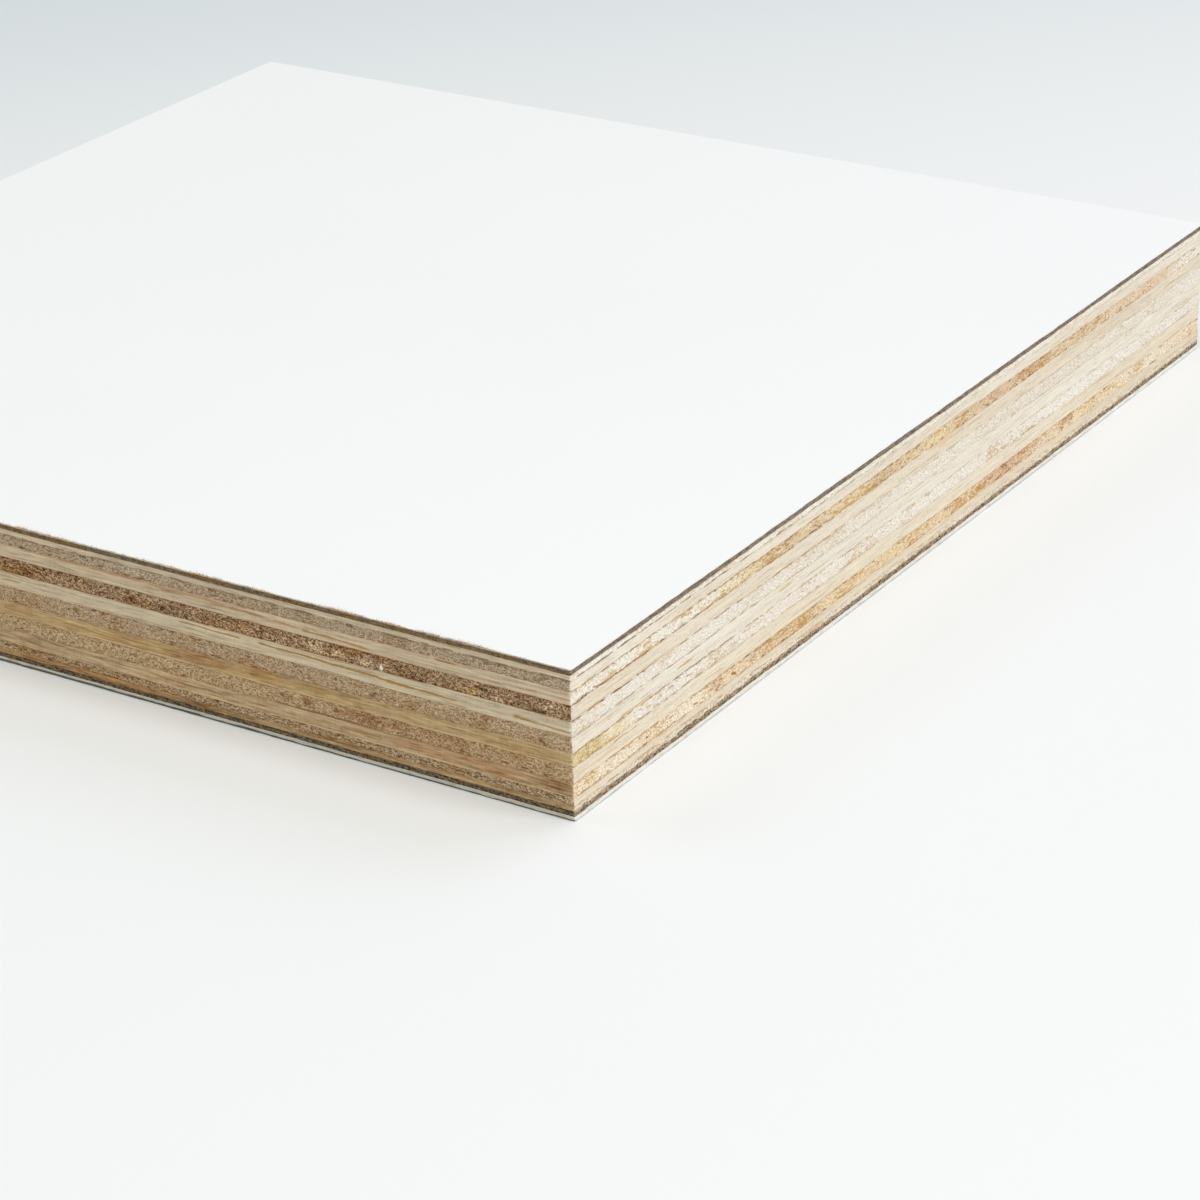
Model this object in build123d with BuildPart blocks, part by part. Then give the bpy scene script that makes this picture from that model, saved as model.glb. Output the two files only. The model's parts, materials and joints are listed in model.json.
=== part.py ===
# Laminate-faced plywood panel: cross-banded veneers pressed between two laminate faces.
# Millimetres, +Z up, origin at the centre of the underside, front edge towards -Y.
from build123d import *
import os

# Plan of the panel, cut square by a saw
panel_width = 150.0
panel_depth = 150.0

# Lower laminate face: a thick white decor sheet under a brown kraft sheet
bottom_decor_thickness = 0.58
bottom_kraft_thickness = 0.60

# Lower arris, where the saw has broken the white sheet away all round
lower_arris_break = 0.20

# Veneers from the back up, each peeled to its own thickness
back_veneer_thickness = 0.60
cross_veneer_5_thickness = 0.91
long_veneer_4_thickness = 1.63
cross_veneer_4_thickness = 1.81
long_veneer_3_thickness = 1.63
cross_veneer_3_thickness = 1.86
long_veneer_2_thickness = 1.74
cross_veneer_2_thickness = 1.81
long_veneer_1_thickness = 1.50
cross_veneer_1_thickness = 1.23
face_veneer_thickness = 0.61

# Upper laminate face: a thin white decor sheet on a brown kraft sheet
top_kraft_thickness = 0.57
top_decor_thickness = 0.12

# Sheets laid on the lowest one, from the bottom up.
# Grain runs along X in the face, back and long veneers, and along Y in the cross veneers.
lay_up = [
    ("bottom_kraft_sheet", bottom_kraft_thickness),
    ("back_veneer", back_veneer_thickness),
    ("cross_veneer_5", cross_veneer_5_thickness),
    ("long_veneer_4", long_veneer_4_thickness),
    ("cross_veneer_4", cross_veneer_4_thickness),
    ("long_veneer_3", long_veneer_3_thickness),
    ("cross_veneer_3", cross_veneer_3_thickness),
    ("long_veneer_2", long_veneer_2_thickness),
    ("cross_veneer_2", cross_veneer_2_thickness),
    ("long_veneer_1", long_veneer_1_thickness),
    ("cross_veneer_1", cross_veneer_1_thickness),
    ("face_veneer", face_veneer_thickness),
    ("top_kraft_sheet", top_kraft_thickness),
    ("top_decor_sheet", top_decor_thickness),
]

os.makedirs("parts", exist_ok=True)

# Lowest sheet, which the panel lies on
with BuildPart() as bottom_decor:
    with BuildSketch(Plane.XY):
        Rectangle(panel_width, panel_depth)
    extrude(amount=bottom_decor_thickness)
    chamfer(bottom_decor.faces().sort_by(Axis.Z)[0].edges(), length=lower_arris_break)
bottom_decor.part.label = "bottom_decor_sheet"
export_step(bottom_decor.part, "parts/bottom_decor_sheet.step")

# Every other sheet lies face to face on the one below it
underside = bottom_decor_thickness
for name, thickness in lay_up:
    with BuildPart() as sheet:
        with BuildSketch(Plane.XY.offset(underside)):
            Rectangle(panel_width, panel_depth)
        extrude(amount=thickness)
    sheet.part.label = name
    export_step(sheet.part, f"parts/{name}.step")
    underside += thickness
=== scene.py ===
import json
import math
from collections import namedtuple

import bpy
import numpy as np
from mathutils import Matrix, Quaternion, Vector


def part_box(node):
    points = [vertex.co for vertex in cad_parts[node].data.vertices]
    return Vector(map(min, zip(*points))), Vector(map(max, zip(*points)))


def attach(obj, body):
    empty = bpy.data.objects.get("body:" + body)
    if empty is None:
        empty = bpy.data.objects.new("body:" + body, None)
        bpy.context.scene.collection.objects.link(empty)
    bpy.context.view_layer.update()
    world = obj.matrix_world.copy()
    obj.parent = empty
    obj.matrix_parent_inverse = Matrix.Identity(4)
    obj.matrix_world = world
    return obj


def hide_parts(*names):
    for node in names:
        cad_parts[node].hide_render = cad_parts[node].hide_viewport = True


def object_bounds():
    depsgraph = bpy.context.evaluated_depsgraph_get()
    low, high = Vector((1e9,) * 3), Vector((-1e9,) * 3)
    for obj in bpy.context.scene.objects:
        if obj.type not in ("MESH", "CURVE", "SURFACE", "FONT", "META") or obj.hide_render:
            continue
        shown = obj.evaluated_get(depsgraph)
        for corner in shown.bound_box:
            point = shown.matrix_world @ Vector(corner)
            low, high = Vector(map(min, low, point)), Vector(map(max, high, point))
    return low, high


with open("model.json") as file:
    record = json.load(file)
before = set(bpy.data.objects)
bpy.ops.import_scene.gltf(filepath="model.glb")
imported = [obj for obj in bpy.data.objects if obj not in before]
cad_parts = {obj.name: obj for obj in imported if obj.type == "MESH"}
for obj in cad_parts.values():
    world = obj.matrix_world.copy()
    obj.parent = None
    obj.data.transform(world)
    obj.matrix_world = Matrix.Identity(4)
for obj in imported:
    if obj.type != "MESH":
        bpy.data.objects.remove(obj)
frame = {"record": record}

cad_low, cad_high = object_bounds()

MM = 0.001
HALF_WIDTH = cad_high.x / MM
PANEL_TOP = cad_high.z / MM
RAGGED_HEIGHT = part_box("bottom_kraft_sheet")[1].z / MM


def srgb(red, green, blue):
    """Linear colour of a screen colour given as three numbers up to 255."""
    return tuple(
        share / 12.92 if share <= 0.04045 else ((share + 0.055) / 1.055) ** 2.4
        for share in (red / 255, green / 255, blue / 255)
    )


# Edges, in the order that goes round the panel against the clock seen from above.
# The cross veneers have their grain along Y and show end grain at the front and back.
Side = namedtuple("Side", "name outward along columns end_grain_of seed")
SIDES = (
    Side("front", (0, -1), (1, 0), 700, "Y", 1),
    Side("right", (1, 0), (0, 1), 700, "X", 2),
    Side("back", (0, 1), (-1, 0), 500, "Y", 3),
    Side("left", (-1, 0), (0, -1), 500, "X", 4),
)
# The right edge lies in the light. It and the edge across from it are the cleaner cut pair; they get lit
# copies of the laminate colours, and the shaded pair darker copies, which are painted shade.
LIT_SIDES = ("right", "left")
COLUMNS = sum(side.columns for side in SIDES)
ROW_PITCH = 0.12
COLUMNS_PER_FAN = 10
FAN_SHARE = 0.95

# Veneers: direction of the grain, colour of the long grain and of the end grain, how crumbly the
# sawn end grain is, how far its dark and its light flecks go, and how stained the long grain is.
# One of the two colours shows on the lit right and left edges, the other on the shaded front and back:
# beside the real difference of long and end grain, the shaded one is darkened as painted shade.
Veneer = namedtuple("Veneer", "grain long_tint end_tint crumble shade lift stain")
VENEERS = {
    "face_veneer": Veneer("X", srgb(202, 186, 160), srgb(242, 235, 223), 0.5, 0.3, 0.2, 0.1),
    "cross_veneer_1": Veneer("Y", srgb(233, 222, 204), srgb(180, 160, 136), 0.7, 0.85, 0.75, 0.1),
    "long_veneer_1": Veneer("X", srgb(205, 185, 157), srgb(243, 235, 221), 1.0, 0.45, 0.1, 0.1),
    "cross_veneer_2": Veneer("Y", srgb(230, 217, 196), srgb(160, 131, 103), 1.3, 1.6, 1.5, 0.2),
    "long_veneer_2": Veneer("X", srgb(208, 191, 163), srgb(234, 225, 211), 0.5, 0.3, 0.3, 0.0),
    "cross_veneer_3": Veneer("Y", srgb(235, 226, 210), srgb(183, 158, 129), 0.8, 0.85, 0.75, 0.0),
    "long_veneer_3": Veneer("X", srgb(190, 163, 121), srgb(239, 231, 220), 0.8, 0.3, 0.3, 0.5),
    "cross_veneer_4": Veneer("Y", srgb(233, 220, 198), srgb(189, 163, 129), 0.6, 0.95, 0.85, 0.2),
    "long_veneer_4": Veneer("X", srgb(188, 162, 127), srgb(244, 230, 208), 1.0, 0.45, 0.35, 0.6),
    "cross_veneer_5": Veneer("Y", srgb(230, 216, 193), srgb(173, 150, 121), 0.8, 1.25, 1.15, 0.2),
    "back_veneer": Veneer("X", srgb(178, 149, 110), srgb(232, 220, 202), 0.7, 0.4, 0.3, 0.9),
}
FLECK_DARK = (0.46, 0.40, 0.33)
FLECK_LIGHT = (1.62, 1.68, 1.66)

# Laminate: colour of the edges and of the flat faces. The white edge has a lit and a darker shaded copy of
# one colour; the darker one is painted shade
DECOR_EDGE_SHADED_TINT = srgb(205, 202, 190)
DECOR_EDGE_LIT_TINT = srgb(236, 233, 222)
DECOR_FACE_TINT = srgb(247, 248, 248)
# By sheet, and by whether the edge is lit: lit and shaded copies of one kraft colour, the shaded ones darker
# as painted shade
KRAFT_TINTS = {
    ("top_kraft_sheet", False): srgb(116, 100, 78),
    ("top_kraft_sheet", True): srgb(129, 114, 100),
    ("bottom_kraft_sheet", False): srgb(97, 86, 72),
    ("bottom_kraft_sheet", True): srgb(138, 119, 98),
}

# How far the dark and the light flecks of the kraft sheets go
KRAFT_CONTRAST = {"top_kraft_sheet": (0.9, 0.75), "bottom_kraft_sheet": (1.9, 1.5)}

# Stains and streaks of the wood, and below them the painted shade of pits and of the broken white sheet
ORANGE = srgb(182, 136, 90)
STREAK_BROWN = srgb(172, 133, 78)
RUST = srgb(167, 121, 75)
DEEP_RUST = srgb(140, 92, 50)
DARK_BROWN = srgb(112, 82, 56)
REDDISH_TAN = srgb(188, 143, 104)
PALE_TUFT = srgb(222, 199, 166)
PALE_LINE = srgb(226, 204, 164)
WHITE_SPECK = srgb(244, 240, 232)
GOLD = srgb(221, 186, 124)
GOLD_BROWN = srgb(196, 156, 100)
DARK_GOLD = srgb(124, 88, 44)
REDDISH = srgb(205, 155, 113)
YELLOW = srgb(235, 219, 176)
BRIGHT_GOLD = srgb(234, 205, 143)
OLIVE = srgb(216, 192, 126)
PEACH = srgb(229, 197, 157)
AMBER = srgb(217, 180, 134)
PALE_CREAM = srgb(236, 224, 205)
TORN_BROWN = srgb(176, 140, 110)
GLUE_BROWN = srgb(142, 98, 58)
GLUE_GREY = srgb(126, 104, 80)
GLUE_ORANGE = srgb(204, 150, 98)
GLUE_RED = srgb(180, 122, 74)
GLUE_GOLD = srgb(206, 172, 104)
# Painted shade in the pits and torn hollows of the wood
PIT_PAINTED_SHADE = (0.50, 0.40, 0.30)
# Painted shadow in the broken strip of the lower white sheet
BREAK_PAINTED_SHADOW = (0.22, 0.21, 0.18)
TORN_SHADE = (0.52, 0.40, 0.30)
TORN_GOLD = (0.74, 0.58, 0.36)
TUFT_CREAM = srgb(240, 226, 198)
STAIN_SHADE = (0.80, 0.66, 0.46)
LINE_SHADE = (0.82, 0.71, 0.57)
# Warm mottle of the kraft, kept to its shaded edges: painted warm shade there
KRAFT_WARMTH = (1.14, 0.94, 0.70)
TAN_BIT = srgb(196, 172, 144)
KRAFT_DARK = srgb(98, 84, 70)
FIBRE_TINT = srgb(202, 184, 156)

# Glue line under each sheet: its colour, the colour of its hot spots, and how strongly it shows on
# the lit and on the shaded edges
Glue = namedtuple("Glue", "tint hot lit shaded")
GLUE_UNDER = {
    "top_kraft_sheet": Glue(GLUE_GREY, GLUE_BROWN, 0.5, 0.0),
    "face_veneer": Glue(GLUE_GREY, GLUE_BROWN, 0.85, 0.7),
    "cross_veneer_1": Glue(GLUE_BROWN, GLUE_ORANGE, 0.6, 0.15),
    "long_veneer_1": Glue(GLUE_BROWN, GLUE_ORANGE, 0.75, 0.2),
    "cross_veneer_2": Glue(GLUE_BROWN, GLUE_ORANGE, 1.0, 0.2),
    "long_veneer_2": Glue(GLUE_GREY, GLUE_GOLD, 0.6, 0.2),
    "cross_veneer_3": Glue(GLUE_BROWN, GLUE_GOLD, 0.7, 0.2),
    "long_veneer_3": Glue(GLUE_BROWN, GLUE_ORANGE, 0.45, 0.2),
    "cross_veneer_4": Glue(GLUE_BROWN, GLUE_ORANGE, 0.45, 0.35),
    "long_veneer_4": Glue(GLUE_BROWN, GLUE_ORANGE, 0.45, 0.2),
    "cross_veneer_5": Glue(GLUE_BROWN, GLUE_GOLD, 0.5, 0.5),
    "back_veneer": Glue(KRAFT_DARK, KRAFT_DARK, 0.95, 0.0),
}

# A patch covers a stretch of an edge between two heights of a sheet
Patch = namedtuple("Patch", "start end low high tint strength")
# A streak is a thin line that runs from one height to another
Streak = namedtuple("Streak", "start end start_height end_height width tint strength")

FRONT_MARKS = {
    "long_veneer_1": (
        Patch(14, 33, 0.7, 1.1, REDDISH_TAN, 0.5),
        Streak(3, 17, 0.97, 0.93, 0.14, ORANGE, 0.8),
        Streak(16, 28, 0.95, 0.84, 0.14, ORANGE, 0.8),
        Streak(26, 32, 0.84, 0.72, 0.14, ORANGE, 0.8),
        Streak(31.5, 37, 0.69, 0.62, 0.18, RUST, 0.8),
        Streak(37, 41.5, 0.56, 0.46, 0.16, ORANGE, 0.8),
        Streak(41, 47, 0.44, 0.36, 0.17, STREAK_BROWN, 0.9),
        Streak(46, 51, 0.35, 0.27, 0.16, ORANGE, 0.9),
        Streak(58, 61.5, 0.88, 0.85, 0.18, RUST, 1),
    ),
    "cross_veneer_2": (
        Patch(17, 19, 0.2, 0.6, DARK_BROWN, 0.7),
        Patch(22, 25, 0.1, 0.7, DARK_BROWN, 0.7),
        Patch(32.5, 34.5, 0.3, 0.8, RUST, 0.7),
        Patch(42.3, 44.3, 0.1, 0.7, PALE_TUFT, 0.7),
        Patch(45.3, 46.8, 0.1, 0.6, PALE_TUFT, 0.6),
        Patch(48.8, 50.6, 0.1, 0.5, PALE_TUFT, 0.6),
        Patch(52, 59, -0.1, 1.1, DARK_BROWN, 0.25),
        Patch(62, 63.5, 0.05, 0.5, GOLD, 0.6),
        Patch(65.8, 66.9, 0, 0.5, PALE_TUFT, 0.7),
        Patch(67.5, 72, -0.1, 1.1, DARK_BROWN, 0.45),
        Patch(71.6, 74, 0.2, 0.8, PALE_TUFT, 0.35),
        Patch(73.8, 75.2, 0.55, 1, RUST, 0.6),
        Patch(73.6, 75.2, 0.05, 0.35, DARK_BROWN, 0.8),
    ),
    "long_veneer_2": (
        Streak(0, 3.5, 0.49, 0.47, 0.2, STREAK_BROWN, 0.7),
        Streak(24.5, 33.8, 0.8, 0.7, 0.17, STREAK_BROWN, 0.9),
        Streak(35.2, 47, 0.72, 0.6, 0.19, STREAK_BROWN, 1),
        Streak(45.5, 61.4, 0.61, 0.4, 0.19, STREAK_BROWN, 1),
        Streak(58.8, 62.8, 0.14, 0.08, 0.16, ORANGE, 0.6),
        Streak(67.6, 75.4, 0.42, 0.27, 0.13, STREAK_BROWN, 0.8),
        Streak(67.4, 70.6, 0.43, 0.38, 0.22, STREAK_BROWN, 1),
    ),
    "long_veneer_3": (
        Streak(0, 5, 0.5, 0.46, 0.34, STREAK_BROWN, 0.6),
        Streak(8, 18.5, 0.5, 0.28, 0.14, STREAK_BROWN, 0.8),
        Patch(14, 46, -0.2, 1.2, STREAK_BROWN, 0.45),
        Patch(25, 28.8, 0.4, 0.9, RUST, 1),
        Patch(29.3, 31.2, 0.35, 0.85, RUST, 0.8),
        Patch(33.4, 38.2, 0.25, 0.95, STREAK_BROWN, 1),
        Streak(33.8, 37.6, 0.9, 0.86, 0.14, RUST, 0.9),
        Streak(39.5, 50.5, 0.66, 0.44, 0.14, STREAK_BROWN, 0.7),
        Streak(50, 57, 0.34, 0.28, 0.12, STREAK_BROWN, 0.5),
        Streak(10, 75, 0.05, 0.05, 0.1, PALE_LINE, 0.5),
        Patch(63.2, 70.5, 0.25, 0.72, STREAK_BROWN, 0.7),
    ),
    "cross_veneer_4": (
        Patch(46, 74, -0.1, 1.1, RUST, 0.35),
        Patch(37.8, 39.6, 0.35, 0.75, DEEP_RUST, 0.8),
        Patch(41, 42.6, 0.3, 0.9, DEEP_RUST, 0.8),
        Patch(45, 46.2, 0.3, 0.7, DEEP_RUST, 0.7),
        Patch(47.4, 52, 0.3, 0.95, DEEP_RUST, 0.8),
        Patch(52.6, 53.8, 0.4, 1, DEEP_RUST, 1),
        Patch(55.5, 60.5, 0.6, 0.95, DEEP_RUST, 0.8),
        Patch(60.8, 62, 0.6, 1, DEEP_RUST, 1),
        Patch(67.6, 69, 0.6, 1, DEEP_RUST, 0.8),
        Patch(71.6, 72.6, 0.5, 0.8, DEEP_RUST, 0.8),
        Streak(37, 50, 0.06, 0.05, 0.16, DARK_BROWN, 0.7),
        Streak(52, 60, 0.04, 0.04, 0.12, DARK_BROWN, 0.6),
        # Short dark dashes with a pale one among them: painted shadows under raised crumbs and a painted
        # highlight on one
        Streak(60.6, 62, 0.16, 0.18, 0.12, DARK_BROWN, 0.9),
        Streak(62.8, 64.4, 0.22, 0.18, 0.12, DARK_BROWN, 0.9),
        Streak(65.6, 67.4, 0.26, 0.22, 0.13, DARK_BROWN, 1),
        Streak(66.2, 67, 0.36, 0.32, 0.12, PALE_TUFT, 0.9),
        Streak(68.2, 69.8, 0.2, 0.24, 0.12, DARK_BROWN, 0.9),
        Streak(71, 72.8, 0.14, 0.18, 0.12, DARK_BROWN, 0.8),
    ),
    "cross_veneer_3": (
        Patch(52, 76, -0.2, 1.2, TAN_BIT, 0.5),
    ),
    "long_veneer_4": (
        Patch(21, 27, 0.3, 0.7, REDDISH_TAN, 0.7),
        Streak(34, 38.5, 0.2, 0.16, 0.12, RUST, 0.6),
        Streak(45.5, 51.8, 0.56, 0.5, 0.16, RUST, 0.7),
        Patch(53, 70, 0.2, 0.85, REDDISH_TAN, 0.85),
        Streak(57, 59, 0.84, 0.82, 0.12, RUST, 0.7),
        Streak(67.8, 70.6, 0.26, 0.22, 0.12, DARK_BROWN, 0.5),
        Streak(20, 75, 0.04, 0.04, 0.1, PALE_LINE, 0.5),
        Patch(71, 75, 0.3, 0.9, DEEP_RUST, 0.9),
    ),
    "cross_veneer_5": (
        Patch(1, 9, 0.3, 1, RUST, 0.6),
        Patch(5, 6.6, 0.5, 1, DARK_BROWN, 0.7),
        Patch(9, 27, 0, 1, RUST, 0.3),
        Patch(38, 42, 0.2, 0.9, RUST, 0.4),
        # Short dark dashes: painted shadows under raised crumbs
        Streak(47, 49.4, 0.52, 0.58, 0.12, DARK_BROWN, 0.8),
        Streak(55, 58, 0.5, 0.44, 0.13, DARK_BROWN, 0.8),
        Streak(60.4, 62.4, 0.56, 0.52, 0.12, DARK_BROWN, 0.7),
        Streak(65, 67.2, 0.6, 0.54, 0.13, DARK_BROWN, 0.8),
    ),
    "back_veneer": (
        Patch(0, 3, 0.1, 1, RUST, 0.6),
        Patch(3, 25, -0.1, 1.1, RUST, 0.9),
        Patch(24.5, 29.2, -0.1, 1, DARK_GOLD, 1),
        Patch(30.6, 32.6, -0.1, 1, DARK_GOLD, 0.8),
    ),
}

RIGHT_MARKS = {
    "long_veneer_1": (
        Streak(-71.2, -69.4, 0.28, 0.06, 0.15, RUST, 0.9),
        Streak(-66, -60.2, 0.02, 0.03, 0.16, GLUE_RED, 1),
        Streak(-61.8, -60, 0.52, 0.66, 0.14, GLUE_ORANGE, 0.9),
        Streak(-59.4, -58, 0.34, 0.12, 0.14, GLUE_ORANGE, 0.9),
        Streak(-54.4, -53, 0.12, 0.16, 0.13, RUST, 0.7),
        Streak(-46.2, -44.6, 0.84, 0.9, 0.14, RUST, 0.7),
        Patch(-47, -38, -0.2, 1.2, YELLOW, 0.65),
        Patch(-39, 0.5, -0.2, 1.2, GOLD, 0.75),
        Patch(-36.5, -34, 0, 0.8, GOLD_BROWN, 0.4),
        Patch(-32, -28.5, 0.1, 0.9, GOLD_BROWN, 0.4),
        Patch(-26, -24, 0.1, 0.8, GOLD_BROWN, 0.4),
        Patch(-20, -15, 0.1, 0.9, BRIGHT_GOLD, 0.4),
        Patch(-12, -9, 0, 1, GOLD_BROWN, 0.6),
        Patch(-8, -6, 0.2, 0.9, GOLD_BROWN, 0.35),
        Patch(0.5, 6.5, -0.2, 1.2, BRIGHT_GOLD, 0.9),
        Patch(6.5, 13, -0.1, 1.1, GOLD, 0.95),
        Patch(12.5, 31, -0.2, 1.2, AMBER, 0.9),
        Patch(13.5, 18, 0.2, 1.1, REDDISH, 0.5),
        Patch(24.5, 29.5, 0, 1.1, REDDISH, 0.55),
        Patch(31, 47, -0.2, 1.2, GOLD, 0.65),
        Patch(37.5, 45, 0.2, 1, GOLD_BROWN, 0.3),
        Patch(46, 66, -0.1, 1.1, PEACH, 0.85),
    ),
    "cross_veneer_2": (
        Patch(1.5, 7, 0.6, 1.1, PEACH, 0.8),
    ),
    "long_veneer_2": (
        Streak(-67.2, -65.4, 0.03, 0.05, 0.16, GLUE_GOLD, 0.9),
    ),
    "cross_veneer_3": (
        Streak(-66.4, -59.4, 0.1, 0.16, 0.15, GLUE_GOLD, 0.9),
        Streak(-55.5, -51, 0.52, 0.5, 0.14, GLUE_GOLD, 0.9),
        Streak(-34, -30.5, 0.66, 0.66, 0.14, GOLD, 1),
    ),
    "long_veneer_3": (
        Streak(-57, -55.2, 0.72, 0.55, 0.16, TORN_BROWN, 0.6),
        Streak(-53.6, -51.4, 0.66, 0.44, 0.17, TORN_BROWN, 0.8),
        Patch(-76, -64, -0.2, 1.2, YELLOW, 0.8),
        Patch(-74, -69.4, -0.1, 1.1, OLIVE, 1),
        Patch(-73.4, -72.2, 0.3, 0.8, GOLD_BROWN, 0.5),
        Streak(-72.9, -71.5, 0.7, 0.45, 0.16, RUST, 0.7),
        Streak(-70.9, -69.9, 0.8, 0.55, 0.14, RUST, 0.6),
    ),
    "cross_veneer_4": (
        Streak(-68, -62.5, 0.8, 0.72, 0.14, GOLD_BROWN, 0.9),
        Streak(-75, -66, 0.4, 0.36, 0.14, GOLD, 0.6),
        Streak(-50, -45, 0.4, 0.36, 0.12, GOLD, 0.7),
    ),
    "long_veneer_4": (
        Patch(-76, -60, 0, 1, PEACH, 0.12),
        Patch(-73, -71, 0.3, 0.9, GOLD, 0.6),
        Streak(-61.5, -60.5, 0.5, 0.5, 0.2, DARK_BROWN, 1),
        Patch(-49, -38, -0.1, 1.1, PEACH, 0.55),
        Patch(-38, 5, -0.1, 1.1, GOLD, 0.6),
        Streak(-64.6, -63, 0.02, 0.03, 0.14, RUST, 0.9),
        Streak(-58.6, -57.4, 0.1, 0.14, 0.14, RUST, 0.8),
        Streak(-57.2, -55.4, 0.62, 0.58, 0.14, RUST, 0.7),
        Streak(-52, -50.6, 0.36, 0.2, 0.16, RUST, 0.8),
        Patch(-48, -45.8, 0.2, 0.7, RUST, 0.6),
        Streak(-44.2, -42.6, 0.55, 0.2, 0.2, RUST, 1),
        Patch(-39.8, -38.4, 0.3, 0.8, RUST, 0.4),
        Streak(-40.4, -38.2, 0.5, 0.1, 0.18, RUST, 0.8),
        Patch(-37, -32, 0.3, 1, RUST, 0.35),
        Patch(-29, -24, 0.1, 0.9, GOLD_BROWN, 0.25),
        Patch(4, 16, -0.1, 1.1, PEACH, 0.85),
        Patch(15, 26, -0.1, 1.1, REDDISH, 0.75),
        Patch(18, 21, 0.1, 1, REDDISH, 0.75),
        Patch(26, 33, -0.1, 1.1, REDDISH, 0.4),
        Patch(33, 53, -0.1, 1.1, GOLD, 0.45),
        Patch(34, 38, 0.4, 1.1, GOLD_BROWN, 0.9),
        Patch(53, 65, -0.1, 1.1, PALE_CREAM, 0.6),
        Patch(65, 75, -0.1, 1.1, PEACH, 0.4),
    ),
}

# One pale chip that only the front edge has
FRONT_CHIP = {"cross_veneer_2": (Streak(51.3, 51.85, 0.24, 0.24, 0.6, WHITE_SPECK, 1),)}

# The unseen half of the front edge and the two unseen edges carry the same kind of marks, moved along
UNSEEN_HALF_SHIFT = -77.0
UNSEEN_EDGE_SHIFT = 31.0


def moved(marks, shift):
    """The same marks, moved along the edge."""
    return {
        sheet: tuple(mark._replace(start=mark.start + shift, end=mark.end + shift) for mark in own)
        for sheet, own in marks.items()
    }


def joined(first, second):
    """The marks of the first table, with those that the second has for the same sheet."""
    return {sheet: own + second.get(sheet, ()) for sheet, own in first.items()}


WHOLE_FRONT_MARKS = joined(FRONT_MARKS, moved(FRONT_MARKS, UNSEEN_HALF_SHIFT))
MARKS = {
    "front": joined(WHOLE_FRONT_MARKS, FRONT_CHIP),
    "right": RIGHT_MARKS,
    "back": moved(WHOLE_FRONT_MARKS, UNSEEN_EDGE_SHIFT),
    "left": moved(RIGHT_MARKS, UNSEEN_EDGE_SHIFT),
}


# Fixed random fields over an edge

def lattice(column, row, seed):
    """One fixed number from -1 to 1 for each point of a square lattice."""
    mixed = (column * 374761393 + row * 668265263 + seed * 97471117) & 0xFFFFFFFF
    mixed = ((mixed ^ (mixed >> 13)) * 1274126177) & 0xFFFFFFFF
    return ((mixed ^ (mixed >> 16)) & 0xFFFF) / 32767.5 - 1.0


def blend(first, second, share):
    return first + (second - first) * share


def smooth(start, end, value):
    """Goes from 0 at start to 1 at end with soft ends."""
    share = np.clip((value - start) / (end - start), 0.0, 1.0)
    return share * share * (3.0 - 2.0 * share)


def noise(across, up, seed):
    """Smooth noise from -1 to 1 with about one bump for each unit."""
    column = np.floor(across).astype(np.int64)
    row = np.floor(up).astype(np.int64)
    right = smooth(0.0, 1.0, across - column)
    above = smooth(0.0, 1.0, up - row)
    lower = blend(lattice(column, row, seed), lattice(column + 1, row, seed), right)
    upper = blend(lattice(column, row + 1, seed), lattice(column + 1, row + 1, seed), right)
    return blend(lower, upper, above)


# One edge of one sheet, as a grid of rows by columns

Edge = namedtuple("Edge", "side end_grain along height share thickness seed")
Paint = namedtuple("Paint", "tint cover cover_tint streak streak_tint")
Grid = namedtuple("Grid", "along height share depth pit paint")
FAR_FROM_STREAK = -3.0
STREAK_TAPER = 0.8
STREAK_TAPER_SHARE = 0.3
STREAK_WANDER = 0.05
STREAK_WIDTH_SHARE = 0.88
STREAK_WIDTH_CHANGE = 0.3
PATCH_SOFTNESS = 2.2
PATCH_SOFTNESS_SHARE = 0.4
PATCH_RIM_SHARE = 0.15
CORNER_REACH = 0.5
# Painted highlight along the broken corner of the shaded edges
CORNER_PAINTED_HIGHLIGHT = 0.35
# Slow drift of red, green and blue along a sheet
DRIFT = np.array((0.03, 0.05, 0.075))

# Bumps of the noise over an edge: length, height, and a layer number that makes each one different.
# Those with no height change along the edge only.
CRUMBS = (0.36, 0.24, 1)
CLUMPS = (1.7, 0.6, 2)
HOLES = (0.5, 0.24, 3)
GROOVES = (9.0, 0.15, 4)
LONG_WAVES = (23.0, 2.5, 5)
TEARS = (2.2, 0.15, 6)
KRAFT_FINE = (0.5, 0.16, 7)
KRAFT_SLOW = (6.0, 0.5, 8)
DECOR_FINE = (0.8, 0.2, 9)
BREAK_LIPS = (1.1, 10)
PATCH_WANDER = (1.3, 0.4, 11)
STREAK_PATH = (2.5, 13)
STREAK_WIDTH = (1.4, 14)
COLOUR_DRIFT = (17.0, 1.4, 15)
BREAK_WAVES = (2.6, 16)
BREAK_RIPPLES = (0.7, 17)
PATCH_FRAY = (0.5, 0.25, 18)
CORNER_CHIP_HEIGHT = 0.45
CORNER_CHIP_LAYER = 20
# Share of the finer noise where two are added
FINE_SHARE = 0.6
# Seeds differ by this from edge to edge, and by this for each hundredth of a millimetre of height
SIDE_SEED_STEP = 1000
SHEET_SEED_STEP = 17

# Pits of the lit edges: share of them that is left away from the rims, and where the rims begin and end
CLEAN_PIT_SHARE = 0.15
PIT_RIM = (0.45, 0.1)

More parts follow.
